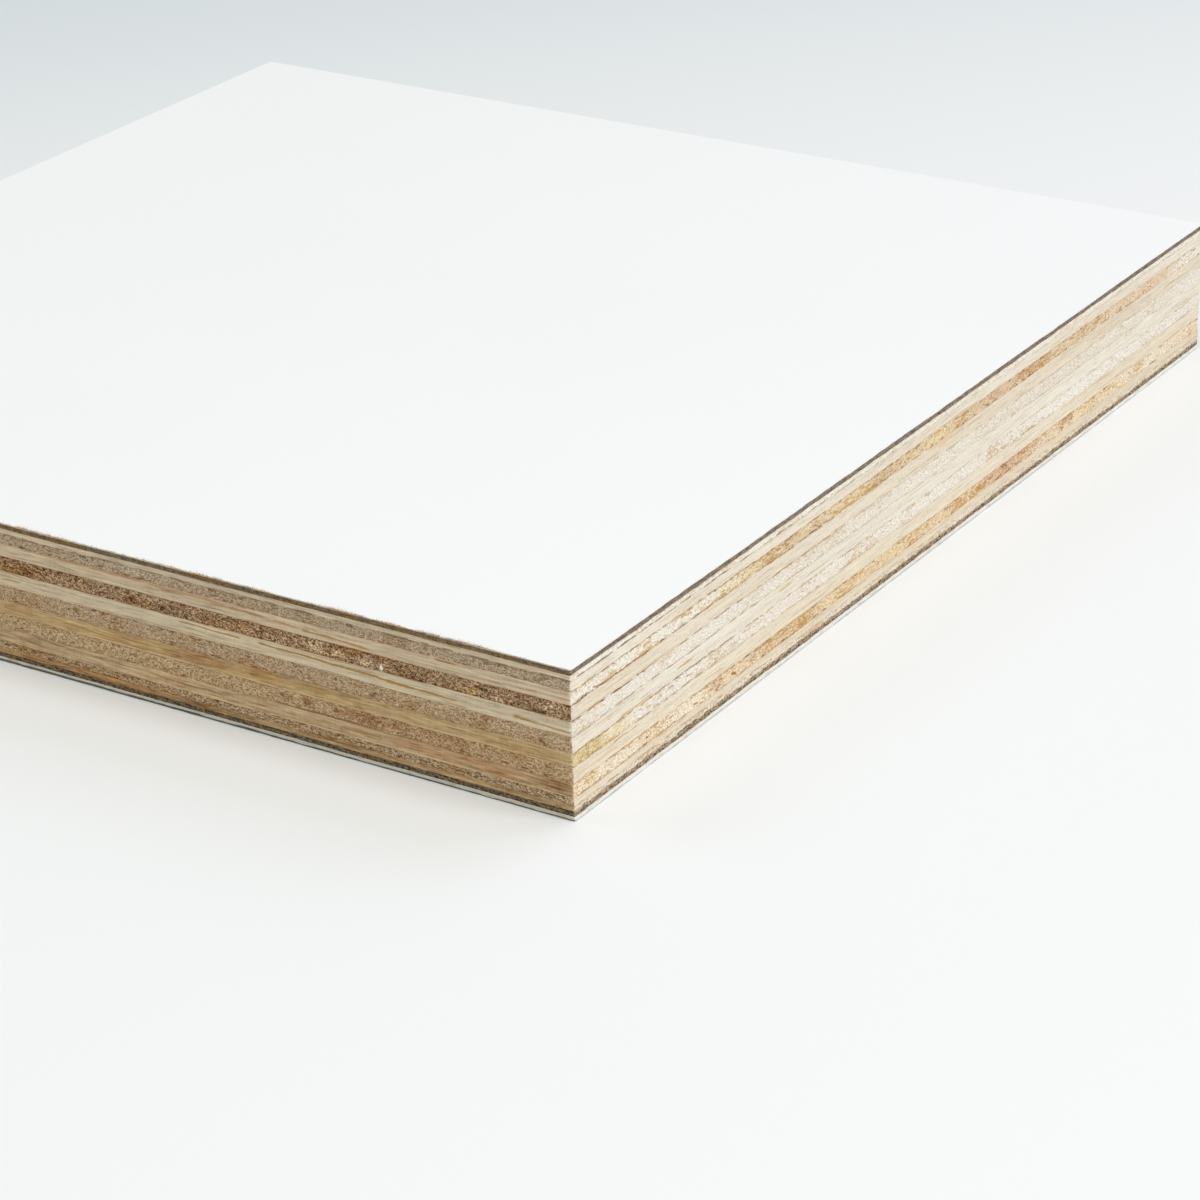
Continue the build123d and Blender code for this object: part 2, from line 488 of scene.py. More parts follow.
# Depths of the relief
CRUMB_DEPTH = 0.020
CLUMP_DEPTH = 0.015
PIT_DEPTH = 0.06
GROOVE_DEPTH = 0.010
WAVE_DEPTH = 0.012
TEAR_DEPTH = 0.03
KRAFT_FINE_DEPTH = 0.018
KRAFT_SLOW_DEPTH = 0.01
DECOR_DEPTH = 0.006
BREAK_DEPTH = 0.10
BREAK_FINE_DEPTH = 0.05
CORNER_DEPTH = 0.05
CORNER_CHIP_DEPTH = 0.04

# How far the lines between the sheets stray, over which length, and the seed of that wave
SLOW_WAVE = (0.035, 8.0, 40)
RIPPLE = (0.012, 1.6, 50)
RIPPLE_LIT = (0.04, 1.6, 50)
RAGGED_WAVES = ((0.09, 0.6, 60), (0.05, 1.9, 70))
# Rows of noise for each millimetre of height, so that no two lines are alike
WAVE_ROWS = 7.31
SAME_HEIGHT = 0.01

# Broken part of the lower white sheet, as a share of its thickness, and where along the edge it grows. The
# broken strip is darkened as painted shadow, so where it grows the edge is darker too.
LOWER_BREAK = 0.37
LOWER_BREAK_GROWN = 0.58
LOWER_BREAK_GROWTH = (62.0, 8.0)
LOWER_BREAK_LIT = 0.18
BREAK_WAVE_SHARE = 0.06
BREAK_LIP_SHARE = 0.07
BREAK_SLOPE_SHARE = 0.2
BREAK_STEEPNESS = 5.0


def edge_noise(edge, length, height, layer):
    """Noise over an edge, with bumps of this length and height, different for each layer."""
    return noise(edge.along / length, edge.height / height, edge.seed + layer)


def line_noise(edge, length, layer):
    """Noise that changes along an edge only."""
    return noise(edge.along / length, np.zeros_like(edge.along), edge.seed + layer)


def patch_weight(edge, mark):
    """How far each point is inside a patch, from 0 to 1, with a wandering outline."""
    wander = edge_noise(edge, *PATCH_WANDER) + FINE_SHARE * edge_noise(edge, *PATCH_FRAY)
    soft = min(PATCH_SOFTNESS, PATCH_SOFTNESS_SHARE * (mark.end - mark.start))
    along = edge.along + 0.5 * soft * wander
    share = edge.share + PATCH_RIM_SHARE * wander
    inside = smooth(mark.start - soft, mark.start + soft, along)
    inside *= smooth(mark.end + soft, mark.end - soft, along)
    inside *= smooth(mark.low - PATCH_RIM_SHARE, mark.low + PATCH_RIM_SHARE, share)
    return inside * smooth(mark.high + PATCH_RIM_SHARE, mark.high - PATCH_RIM_SHARE, share)


def streak_nearness(edge, mark):
    """How near each point is to a streak: 1 along its middle, 0 at its rim, less beyond it."""
    length = mark.end - mark.start
    run = (edge.along - mark.start) / length
    centre = blend(mark.start_height, mark.end_height, run)
    wander = STREAK_WANDER * line_noise(edge, *STREAK_PATH)
    distance = np.abs((edge.share - centre) * edge.thickness + wander)
    width = mark.width * (STREAK_WIDTH_SHARE + STREAK_WIDTH_CHANGE * line_noise(edge, *STREAK_WIDTH))
    taper = min(STREAK_TAPER, STREAK_TAPER_SHARE * length)
    blunt = np.clip(1.0 - np.minimum(run, 1.0 - run) * length / taper, 0.0, None)
    return np.maximum(1.0 - distance / width - blunt, FAR_FROM_STREAK)


def near_corner(edge):
    """1 at the ends of an edge, fading over the broken corner of the panel."""
    return smooth(CORNER_REACH, 0.0, HALF_WIDTH - np.abs(edge.along))


def painted(edge, sheet, base):
    """Colours over the edge: the sheet's own with its slow drift and a painted highlight at the corners of
    the shaded edges, that of its patches and of its streaks.
    """
    drift = edge_noise(edge, *COLOUR_DRIFT)
    tint = np.array(base) * (1.0 + drift[..., None] * DRIFT)
    # Painted highlight along the broken corner of the shaded edges
    if edge.side not in LIT_SIDES:
        tint = tint * (1.0 + CORNER_PAINTED_HIGHLIGHT * near_corner(edge)[..., None])
    cover = np.zeros(edge.along.shape)
    cover_tint = tint
    streak = np.full(edge.along.shape, FAR_FROM_STREAK)
    streak_tint = tint
    for mark in MARKS[edge.side].get(sheet, ()):
        if isinstance(mark, Patch):
            inside = patch_weight(edge, mark)
            share = smooth(0.0, 0.3, inside) * np.maximum(mark.strength, 1.0 - cover)
            cover_tint = blend(cover_tint, np.array(mark.tint), share[..., None])
            cover = 1.0 - (1.0 - cover) * (1.0 - mark.strength * inside)
        else:
            nearness = streak_nearness(edge, mark)
            own_tint = blend(tint, np.array(mark.tint), mark.strength)
            streak_tint = np.where((nearness > streak)[..., None], own_tint, streak_tint)
            streak = np.maximum(streak, nearness)
    return Paint(tint, cover, cover_tint, streak, streak_tint)


def end_grain_relief(edge, crumble):
    """Depth of the crumbled end grain, and how much of a pit each point is.

    The lit edges are cleaner cut, with pits mostly beside the glue lines.
    """
    crumbs = edge_noise(edge, *CRUMBS)
    clumps = edge_noise(edge, *CLUMPS)
    holes = edge_noise(edge, *HOLES)
    pit = smooth(0.30, 0.80, holes + 0.3 * clumps)
    if edge.side in LIT_SIDES:
        rim = np.minimum(edge.share, 1.0 - edge.share) * edge.thickness
        pit = pit * blend(CLEAN_PIT_SHARE, 1.0, smooth(*PIT_RIM, rim))
    depth = crumble * (CRUMB_DEPTH * (1.0 + crumbs) + CLUMP_DEPTH * (1.0 + clumps) + PIT_DEPTH * pit)
    return depth, pit * min(crumble, 1.0)


def long_grain_relief(edge):
    """Depth of the fine grooves along the grain, and where the grain is torn."""
    grooves = edge_noise(edge, *GROOVES)
    waves = edge_noise(edge, *LONG_WAVES)
    torn = smooth(0.5, 0.9, edge_noise(edge, *TEARS))
    return GROOVE_DEPTH * (1.0 + grooves) + WAVE_DEPTH * (1.0 + waves) + TEAR_DEPTH * torn, 0.2 * torn


def kraft_relief(edge):
    """Depth of the kraft sheet's edge, and the share of it that is bitten where it is lit."""
    fine = edge_noise(edge, *KRAFT_FINE)
    slow = edge_noise(edge, *KRAFT_SLOW)
    bitten = np.full(fine.shape, float(edge.side in LIT_SIDES))
    return KRAFT_FINE_DEPTH * (1.0 + fine) + KRAFT_SLOW_DEPTH * (1.0 + slow), bitten


def decor_relief(edge, lower):
    """The white sheet's edge, nearly smooth, and how far the lower sheet is broken away at each point, which
    also sets where its painted shadow falls.
    """
    fine = edge_noise(edge, *DECOR_FINE)
    depth = DECOR_DEPTH * (1.0 + fine)
    if not lower:
        return depth, np.zeros_like(depth)
    lips = smooth(0.35, 0.75, line_noise(edge, *BREAK_LIPS))
    middle = LOWER_BREAK_LIT
    if edge.side not in LIT_SIDES:
        middle = blend(LOWER_BREAK, LOWER_BREAK_GROWN, smooth(*LOWER_BREAK_GROWTH, edge.along))
    waves = line_noise(edge, *BREAK_WAVES) + FINE_SHARE * line_noise(edge, *BREAK_RIPPLES)
    below = middle + BREAK_WAVE_SHARE * waves - BREAK_LIP_SHARE * lips - edge.share
    broken = smooth(0.0, BREAK_SLOPE_SHARE, below)
    return depth + broken * (BREAK_DEPTH + BREAK_FINE_DEPTH * fine), BREAK_STEEPNESS * below


def shows_end_grain(sheet, side):
    return sheet in VENEERS and VENEERS[sheet].grain == side.end_grain_of


def edge_fields(sheet, edge):
    """Depth in millimetres, pits and colours over one edge of one sheet."""
    if sheet in VENEERS:
        veneer = VENEERS[sheet]
        depth, pit = end_grain_relief(edge, veneer.crumble) if edge.end_grain else long_grain_relief(edge)
        # Of these two tints the one on the shaded edges is partly painted shade
        tint = veneer.end_tint if edge.end_grain else veneer.long_tint
    elif "kraft" in sheet:
        depth, pit = kraft_relief(edge)
        # Lit and shaded copies of the kraft colour: the shaded one is painted shade
        tint = KRAFT_TINTS[sheet, edge.side in LIT_SIDES]
    else:
        depth, pit = decor_relief(edge, sheet == "bottom_decor_sheet")
        # The white edge's shaded copy of its colour is painted shade
        tint = DECOR_EDGE_LIT_TINT if edge.side in LIT_SIDES else DECOR_EDGE_SHADED_TINT
    chips = noise(edge.height / CORNER_CHIP_HEIGHT, np.zeros_like(depth), edge.seed + CORNER_CHIP_LAYER)
    depth = depth + (CORNER_DEPTH + CORNER_CHIP_DEPTH * chips) * near_corner(edge)
    return depth, pit, painted(edge, sheet, tint)


def boundary_wave(side, along, height):
    """How far the line between two sheets strays from its height, nothing at the outer faces."""
    stray = np.zeros_like(along)
    if height < SAME_HEIGHT or height > PANEL_TOP - SAME_HEIGHT:
        return stray
    lit = side.name in LIT_SIDES
    waves = (SLOW_WAVE, RIPPLE_LIT if lit else RIPPLE)
    if lit and abs(height - RAGGED_HEIGHT) < SAME_HEIGHT:
        waves += RAGGED_WAVES
    level = np.full_like(along, height * WAVE_ROWS)
    for size, length, seed in waves:
        stray = stray + size * noise(along / length, level, side.seed + seed)
    return stray


# Mesh of one sheet: rings of points round its edges, closed by a face above and below

SHARP_ANGLE = math.radians(60)


def side_grid(sheet, side, low, high):
    """Places and fields of one edge, with one column more than it has faces, up to the next corner."""
    rows = max(1, round((high - low) / ROW_PITCH))
    along_line = np.linspace(-HALF_WIDTH, HALF_WIDTH, side.columns + 1)
    share = np.repeat(np.linspace(0.0, 1.0, rows + 1)[:, None], side.columns + 1, axis=1)
    along = np.repeat(along_line[None, :], rows + 1, axis=0)
    lower_line = low + boundary_wave(side, along_line, low)
    upper_line = high + boundary_wave(side, along_line, high)
    height = blend(lower_line, upper_line, share)
    seed = side.seed * SIDE_SEED_STEP + round(low * 100) * SHEET_SEED_STEP
    edge = Edge(side.name, shows_end_grain(sheet, side), along, height, share, high - low, seed)
    return Grid(along_line, height, share, *edge_fields(sheet, edge))


def ring_points(grids):
    """Points of all rings as rows by columns, with each corner set back by both its edges."""
    points = []
    for index, side in enumerate(SIDES):
        grid = grids[index]
        outward = np.array(side.outward)
        flat = np.array(side.along) * grid.along[:-1, None] + outward * HALF_WIDTH
        flat = flat[None] - outward * grid.depth[:, :-1, None]
        flat[:, 0] -= np.array(SIDES[index - 1].outward) * grids[index - 1].depth[:, -1, None]
        points.append(np.concatenate([flat, grid.height[:, :-1, None]], axis=2))
    return np.concatenate(points, axis=1)


def ring_field(fields):
    """One field of all four edges, as one row for each point."""
    rings = np.concatenate([field[:, :-1] for field in fields], axis=1)
    return rings.reshape(-1, *rings.shape[2:])


def flat_fields(tint, count):
    """Fields of points that have one colour and no marks."""
    tints = np.tile(np.array(tint), (count, 1))
    even = np.ones(count)
    paint = Paint(tints, 0.0 * even, tints, FAR_FROM_STREAK * even, tints)
    return paint._asdict() | {"pit": 0.0 * even, "share": 0.5 * even}


def point_fields(grids, inner_count):
    """Fields over the points of a sheet's mesh, even over its flat faces."""
    fields = {name: ring_field([getattr(grid.paint, name) for grid in grids]) for name in Paint._fields}
    fields["pit"] = ring_field([grid.pit for grid in grids])
    fields["share"] = ring_field([grid.share for grid in grids])
    flat = flat_fields(fields["tint"].mean(axis=0), inner_count)
    return {name: np.concatenate([values, flat[name]]) for name, values in fields.items()}


def wall_faces(rows):
    """Four-sided faces between the rings, row by row."""
    row, column = np.divmod(np.arange(rows * COLUMNS), COLUMNS)
    following = (column + 1) % COLUMNS
    below = row * COLUMNS
    above = below + COLUMNS
    return np.stack([below + column, below + following, above + following, above + column], axis=1)


def fan_faces(ring_start, inner_start, upward):
    """Triangles from a ring to an inner ring with fewer points, and the face inside that."""
    column = np.arange(COLUMNS)
    group = np.arange(COLUMNS // COLUMNS_PER_FAN)
    following = (group + 1) % len(group)
    outer = np.stack([column, (column + 1) % COLUMNS, column // COLUMNS_PER_FAN], axis=1)
    outer += np.array((ring_start, ring_start, inner_start))
    steps = np.stack([following * COLUMNS_PER_FAN + ring_start, following + inner_start,
                      group + inner_start], axis=1)
    triangles = np.concatenate([outer, steps])
    middle = group[None] + inner_start
    if upward:
        return triangles, middle
    return triangles[:, ::-1], middle[:, ::-1]


# Places in the map that colours are baked to: strips for the edges, a square for each flat face
STRIPS = 16
STRIP_COLUMNS = COLUMNS // STRIPS
STRIP_FILL = 0.9
MapLayout = namedtuple("MapLayout", "edges lower_square upper_square")
Square = namedtuple("Square", "left bottom size")
HIDDEN_FACES_LAYOUT = MapLayout(0.94, Square(0.01, 0.95, 0.04), Square(0.06, 0.95, 0.04))
SHOWN_TOP_LAYOUT = MapLayout(0.12, Square(0.90, 0.20, 0.08), Square(0.01, 0.13, 0.86))
SHOWN_UNDERSIDE_LAYOUT = MapLayout(0.12, Square(0.01, 0.13, 0.86), Square(0.90, 0.20, 0.08))


def wall_places(rows, layout):
    """Map places of the corners of the wall faces."""
    row, column = np.divmod(np.arange(rows * COLUMNS), COLUMNS)
    strip, step = np.divmod(column, STRIP_COLUMNS)
    left = step / STRIP_COLUMNS
    right = (step + 1) / STRIP_COLUMNS
    low = (strip + STRIP_FILL * row / rows) / STRIPS * layout.edges
    high = (strip + STRIP_FILL * (row + 1) / rows) / STRIPS * layout.edges
    return np.stack([left, low, right, low, right, high, left, high], axis=1).reshape(-1, 2)


def square_places(points, faces, square):
    """Map places of the corners of flat faces, seen from above."""
    plan = points[faces.ravel(), :2] / (2 * HALF_WIDTH) + 0.5
    return np.array((square.left, square.bottom)) + square.size * plan


def mesh_from_arrays(name, points, faces, fields, places):
    """A Blender mesh from points in millimetres, groups of faces, point fields and map places."""
    mesh = bpy.data.meshes.new(name)
    mesh.vertices.add(len(points))
    mesh.vertices.foreach_set("co", (points * MM).astype(np.float32).ravel())
    sizes = np.concatenate([np.full(len(group), group.shape[1]) for group in faces])
    corners = np.concatenate([group.ravel() for group in faces])
    mesh.loops.add(len(corners))
    mesh.loops.foreach_set("vertex_index", corners.astype(np.int32))
    mesh.polygons.add(len(sizes))
    mesh.polygons.foreach_set("loop_start", (np.cumsum(sizes) - sizes).astype(np.int32))
    for field, values in fields.items():
        kind, key = ("FLOAT_VECTOR", "vector") if values.ndim == 2 else ("FLOAT", "value")
        attribute = mesh.attributes.new(field, kind, "POINT")
        attribute.data.foreach_set(key, values.astype(np.float32).ravel())
    mesh.uv_layers.new(name="OFBake").data.foreach_set("uv", places.astype(np.float32).ravel())
    mesh.update(calc_edges=True)
    return mesh


def wall_materials(sheet, rows):
    """Material of each wall face: 0 for long grain or laminate, 1 for end grain."""
    by_column = np.concatenate([np.full(side.columns, int(shows_end_grain(sheet, side))) for side in SIDES])
    return np.tile(by_column, rows)


def sheet_mesh(sheet, layout, face_material, extra=None):
    """The whole mesh of one sheet, with its fibres where it has any."""
    low, high = (corner.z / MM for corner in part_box(sheet))
    grids = [side_grid(sheet, side, low, high) for side in SIDES]
    rings = ring_points(grids)
    rows = len(rings) - 1
    ring_count = (rows + 1) * COLUMNS
    inner_count = COLUMNS // COLUMNS_PER_FAN
    inner_low = rings[0, ::COLUMNS_PER_FAN] * FAN_SHARE
    inner_high = rings[-1, ::COLUMNS_PER_FAN] * FAN_SHARE
    inner_low[:, 2] = low
    inner_high[:, 2] = high
    points = np.concatenate([rings.reshape(-1, 3), inner_low, inner_high])
    lower_fan, lower_middle = fan_faces(0, ring_count, False)
    upper_fan, upper_middle = fan_faces(rows * COLUMNS, ring_count + inner_count, True)
    faces = [wall_faces(rows), lower_fan, lower_middle, upper_fan, upper_middle]
    fields = point_fields(grids, 2 * inner_count)
    places = [wall_places(rows, layout)]
    for group, square in ((lower_fan, layout.lower_square), (lower_middle, layout.lower_square),
                          (upper_fan, layout.upper_square), (upper_middle, layout.upper_square)):
        places.append(square_places(points, group, square))
    flat_faces = sum(len(group) for group in faces[1:])
    material_index = np.concatenate([wall_materials(sheet, rows), np.full(flat_faces, face_material)])
    is_smooth = np.concatenate([np.ones(rows * COLUMNS, bool), np.zeros(flat_faces, bool)])
    if extra is not None:
        faces.append(extra.faces + len(points))
        points = np.concatenate([points, extra.points])
        fields = {name: np.concatenate([values, extra.fields[name]]) for name, values in fields.items()}
        places.append(np.tile(np.array(FIBRE_PLACE), (extra.faces.size // 3, 1)))
        material_index = np.concatenate([material_index, np.zeros(len(extra.faces), int)])
        is_smooth = np.concatenate([is_smooth, np.ones(len(extra.faces), bool)])
    mesh = mesh_from_arrays(sheet + "_sawn", points, faces, fields, np.concatenate(places))
    mesh.polygons.foreach_set("material_index", material_index.astype(np.int32))
    mesh.polygons.foreach_set("use_smooth", is_smooth)
    mesh.set_sharp_from_angle(angle=SHARP_ANGLE)
    return mesh


# Saw fibres that stand along the upper arris of the front edge

Fibres = namedtuple("Fibres", "points faces fields")
# All fibres share one triangle of the map, beside the squares of the flat faces
FIBRE_PLACE = ((0.12, 0.955), (0.14, 0.955), (0.13, 0.975))
FIBRE_TRIES = 13000
FIBRE_SEED = 20
FIBRE_SIDES = 3
FIBRE_END_GAP = 0.3
FIBRE_LENGTH = 0.16
FIBRE_SPREAD = 0.16
LONG_FIBRE = 0.5
LONG_FIBRE_RARITY = 9
FIBRE_ROOT_DEPTH = 0.03
FIBRE_ROOT_DROP = (0.05, 0.20)
FIBRE_RADIUS = (0.008, 0.018)
# Lengths of the larger and the smaller clumps, and the share that the fibres between them reach
FIBRE_CLUMPS = (2.2, 0.7)
FIBRE_LOW_SHARE = 0.6
# Middle and spread of the way that a fibre leans, stands out and curls, for each length of fibre
FIBRE_LEAN = (0.0, 0.6)
FIBRE_OUTWARD = (0.2, 0.3)
FIBRE_CURL = (0.0, 0.3)
# Towards the near corner the fibres shorten over this length, to this share
FIBRE_FADE = 7.0
FIBRE_CORNER_SHARE = 0.35


def fibre_paths():
    """Three points along each fibre, and its radius, in millimetres."""
    chance = np.random.default_rng(FIBRE_SEED)
    along = chance.uniform(-HALF_WIDTH + FIBRE_END_GAP, HALF_WIDTH - FIBRE_END_GAP, FIBRE_TRIES)
    level = np.zeros_like(along)
    large, small = FIBRE_CLUMPS
    clumps = noise(along / large, level, FIBRE_SEED)
    clumps = clumps + FINE_SHARE * noise(along / small, level, FIBRE_SEED + 1)
    kept = smooth(-1.6, 0.5, clumps) > chance.uniform(0.0, 1.0, FIBRE_TRIES)
    along = along[kept]
    count = len(along)
    tallness = blend(FIBRE_LOW_SHARE, 1.0, smooth(-0.4, 0.9, clumps[kept]))
    tallness *= blend(FIBRE_CORNER_SHARE, 1.0, smooth(HALF_WIDTH, HALF_WIDTH - FIBRE_FADE, along))
    spread = chance.uniform(0.0, 1.0, count)
    rare = chance.uniform(0.0, 1.0, count) ** LONG_FIBRE_RARITY
    length = tallness * (FIBRE_LENGTH + FIBRE_SPREAD * spread + LONG_FIBRE * rare)
    lean = chance.normal(*FIBRE_LEAN, count)
    outward = chance.normal(*FIBRE_OUTWARD, count)
    curl = chance.normal(*FIBRE_CURL, count)
    depth = np.full(count, FIBRE_ROOT_DEPTH - HALF_WIDTH)
    root = np.stack([along, depth, PANEL_TOP - chance.uniform(*FIBRE_ROOT_DROP, count)], axis=1)
    middle = root + length[:, None] * 0.5 * np.stack([lean, -outward, np.full(count, 0.9)], axis=1)
    tip = root + length[:, None] * np.stack([lean + curl, -outward * 0.4, np.full(count, 1.0)], axis=1)
    return np.stack([root, middle, tip], axis=1), chance.uniform(*FIBRE_RADIUS, count)


def saw_fibres():
    """All fibres as thin three-sided spikes."""
    paths, radius = fibre_paths()
    count = len(paths)
    turn = np.arange(FIBRE_SIDES) * 2.0 * math.pi / FIBRE_SIDES
    around = np.stack([np.cos(turn), np.sin(turn), np.zeros(FIBRE_SIDES)], axis=1)
    ring = around[None] * radius[:, None, None]
    points = np.concatenate([paths[:, 0:1] + ring, paths[:, 1:2] + 0.8 * ring, paths[:, 2:3]], axis=1)
    tip = 2 * FIBRE_SIDES
    one = []
    for side in range(FIBRE_SIDES):
        after = (side + 1) % FIBRE_SIDES
        one += [(side, after, FIBRE_SIDES + after), (side, FIBRE_SIDES + after, FIBRE_SIDES + side)]
        one += [(FIBRE_SIDES + side, FIBRE_SIDES + after, tip)]
    one += [(2, 1, 0)]
    faces = np.array(one)[None] + (np.arange(count) * (tip + 1))[:, None, None]
    return Fibres(points.reshape(-1, 3), faces.reshape(-1, 3), flat_fields(FIBRE_TINT, count * (tip + 1)))


# Materials

# Where along Y the glue and the torn rims of the lit edges fade, in metres, and to what share
RIM_FADE_START = -0.065
RIM_FADE_END = 0.015
RIM_FADE_REST = 0.3
# Glue lines and torn bits beside them, in millimetres
GLUE_WANDER = 0.07
GLUE_WIDTHS = (-0.01, 0.13)
GLUE_SOFTNESS = 0.03
TORN_RIM = (0.05, 0.45)
# Tan bites into the lower kraft sheet, in millimetres
BITE_REACH = 0.34
BITE_SOFTNESS = 0.06
# Shade of the faint clouds on the white faces
CLOUD_SHADE = 0.992


class Shader:
    """Short calls that build the nodes of one material."""

    def __init__(self, name):
        self.material = bpy.data.materials.new(name)
        self.material.use_nodes = True
        self.tree = self.material.node_tree
        self.surface = self.tree.nodes["Principled BSDF"]

    def fill(self, socket, value):
        if isinstance(value, bpy.types.NodeSocket):
            self.tree.links.new(value, socket)
        else:
            socket.default_value = value

    def node(self, kind, inputs, **settings):
        made = self.tree.nodes.new(kind)
        for key, value in settings.items():
            setattr(made, key, value)
        for key, value in inputs.items():
            self.fill(made.inputs[key], value)
        return made

    def field(self, name, output="Fac"):
        """A number that the mesh has at each point."""
        return self.node("ShaderNodeAttribute", {}, attribute_name=name).outputs[output]

    def colour_field(self, name):
        return self.field(name, "Vector")

    def place(self):
        return self.node("ShaderNodeTexCoord", {}).outputs["Object"]

    def part(self, vector, axis):
        return self.node("ShaderNodeSeparateXYZ", {0: vector}).outputs[axis]

    def math(self, operation, first, second=0.0):
        return self.node("ShaderNodeMath", {0: first, 1: second}, operation=operation).outputs[0]

    def vector(self, operation, first, second):
        return self.node("ShaderNodeVectorMath", {0: first, 1: second}, operation=operation).outputs[0]

    def mix(self, share, first, second):
        inputs = {0: share, 4: first, 5: second}
        return self.node("ShaderNodeMix", inputs, data_type="VECTOR").outputs[1]

    def ramp(self, value, start, end, low=0.0, high=1.0):
        inputs = {"Value": value, "From Min": start, "From Max": end, "To Min": low, "To Max": high}
        return self.node("ShaderNodeMapRange", inputs, interpolation_type="SMOOTHSTEP").outputs[0]

    def grain(self, per_mm, detail=3.0, roughness=0.55, distortion=0.0):
        """Noise with so many bumps for each millimetre along X, Y and Z."""
        scaled = self.vector("MULTIPLY", self.place(), [count / MM for count in per_mm])
        inputs = {"Vector": scaled, "Scale": 1.0, "Detail": detail, "Roughness": roughness,
                  "Distortion": distortion}
        return self.node("ShaderNodeTexNoise", inputs).outputs[0]

    def sum(self, first, first_share, second):
        """Two values blended by a fixed share."""
        return self.math("ADD", self.math("MULTIPLY", first, first_share),
                         self.math("MULTIPLY", second, 1.0 - first_share))

    def flecked(self, colour, value, shade, lift, spread):
        """Darkens the colour where the noise is low and lightens it where the noise is high."""
        dark = [channel ** shade for channel in FLECK_DARK]
        light = [channel ** lift for channel in FLECK_LIGHT]
        darkened = self.mix(self.ramp(value, 0.5 - spread, 0.5), dark, (1.0, 1.0, 1.0))
        lightened = self.mix(self.ramp(value, 0.5, 0.5 + spread), (1.0, 1.0, 1.0), light)
        return self.vector("MULTIPLY", colour, self.vector("MULTIPLY", darkened, lightened))

    def finish(self, colour, roughness, height, depth_mm, gloss):
        self.fill(self.surface.inputs["Base Color"], colour)
        self.fill(self.surface.inputs["Roughness"], roughness)
        self.surface.inputs["Specular IOR Level"].default_value = gloss
        bump = self.node("ShaderNodeBump", {"Height": height, "Strength": 1.0, "Distance": depth_mm * MM})
        self.fill(self.surface.inputs["Normal"], bump.outputs[0])
        return self.material


def along_scale(grain, along, across):
    """Noise scale that is drawn out along the grain."""
    return (along, across, across) if grain == "X" else (across, along, across)


def rim_strength(shader):
    """How much the glue and the torn rims of the lit edges show: less towards their far end."""
    return shader.ramp(shader.part(shader.place(), "Y"), RIM_FADE_START, RIM_FADE_END, 1.0, RIM_FADE_REST)


def glued(shader, colour, sheet, thickness, lit):
    """Thin broken lines of glue that wander about the lower and the upper rim of a veneer."""
    share = shader.field("share")
    wander = shader.ramp(shader.grain((0.25, 0.25, 0.9)), 0.25, 0.75, -GLUE_WANDER, GLUE_WANDER)
    broken = shader.grain((0.55, 0.55, 0.9), detail=4.0, roughness=0.65)
    width = shader.ramp(broken, 0.36, 0.64, *GLUE_WIDTHS)
    heat = shader.ramp(shader.grain((0.35, 0.35, 0.9), detail=2.0), 0.50, 0.66)
    from_below = shader.math("MULTIPLY", share, thickness)
    from_above = shader.math("SUBTRACT", from_below, thickness)
    names = list(GLUE_UNDER)
    above = names[names.index(sheet) - 1]
    rim = rim_strength(shader) if lit else None
    for height, glue in ((from_below, GLUE_UNDER[sheet]), (from_above, GLUE_UNDER[above])):
        strength = shader.math("MULTIPLY", rim, glue.lit) if lit else glue.shaded
        distance = shader.math("ABSOLUTE", shader.math("SUBTRACT", height, wander))
        line = shader.ramp(shader.math("SUBTRACT", width, distance), 0.0, GLUE_SOFTNESS, 0.0, strength)
        colour = shader.mix(line, colour, shader.mix(heat, glue.tint, glue.hot))
    return colour


def covered(shader, breaks, lit):
    """The sheet's own colour with its patches, which a noise thins out here and there."""
    kept = shader.ramp(breaks, 0.36, 0.60, 0.6 if lit else 0.3, 1.0)
    shown = shader.math("MULTIPLY", shader.field("cover"), kept)
    tint = shader.colour_field("tint")
    return shader.mix(shown, tint, shader.colour_field("cover_tint"))


def streaked(shader, colour, grain):
    """Thin dark streaks with frayed rims."""
    fray = shader.ramp(shader.grain(along_scale(grain, 0.9, 6.0)), 0.3, 0.7, -0.3, 0.3)
    shown = shader.ramp(shader.math("ADD", shader.field("streak"), fray), 0.0, 0.5)
    return shader.mix(shown, colour, shader.colour_field("streak_tint"))


def shaded_by(shader, colour, share, shade):
    """Darkens the colour where the share is high."""
    return shader.vector("MULTIPLY", colour, shader.mix(share, (1.0, 1.0, 1.0), shade))


